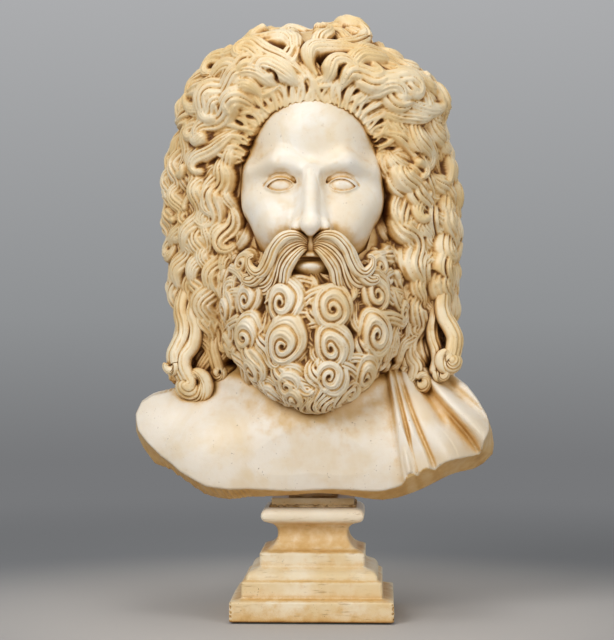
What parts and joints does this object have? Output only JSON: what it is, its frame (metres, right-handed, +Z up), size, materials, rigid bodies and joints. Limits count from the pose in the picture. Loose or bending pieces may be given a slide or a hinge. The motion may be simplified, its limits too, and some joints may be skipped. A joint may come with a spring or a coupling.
{
  "type": "bearded marble bust",
  "caption": "Life-plus-size bearded classical bust with long wavy hair and a draped shoulder, on a stepped square socle.",
  "frame": {"origin": "centre of the felt's underside, on the surface that the bust stands on", "axes": "+Z up; the face looks along -Y; +X is the bust's own left, where the cloth lies"},
  "size_m": [0.5218, 0.376, 0.87],
  "materials": {
    "cast_marble": "ivory cast marble, rubbed smooth, warm patina in the recesses",
    "socle_marble": "cast marble with a deeper ochre patina and chipped corners",
    "mortar": "dull bedding mortar and old adhesive",
    "steel": "zinc-plated steel",
    "lath_wood": "raw sawn lath",
    "felt": "pressed wool felt"
  },
  "bodies": {
    "root": {"felt_base": "felt", "socle": "socle_marble", "block_mortar": "mortar", "neck_block": "socle_marble", "pillar_mortar": "mortar", "support_pillar": "cast_marble", "shoulder_brace": "lath_wood", "tie_rod": "steel", "base_washer": "steel", "base_nut": "steel", "top_washer": "steel", "top_nut": "steel", "front_casting": "cast_marble", "back_casting": "cast_marble"}
  },
  "joints": []
}
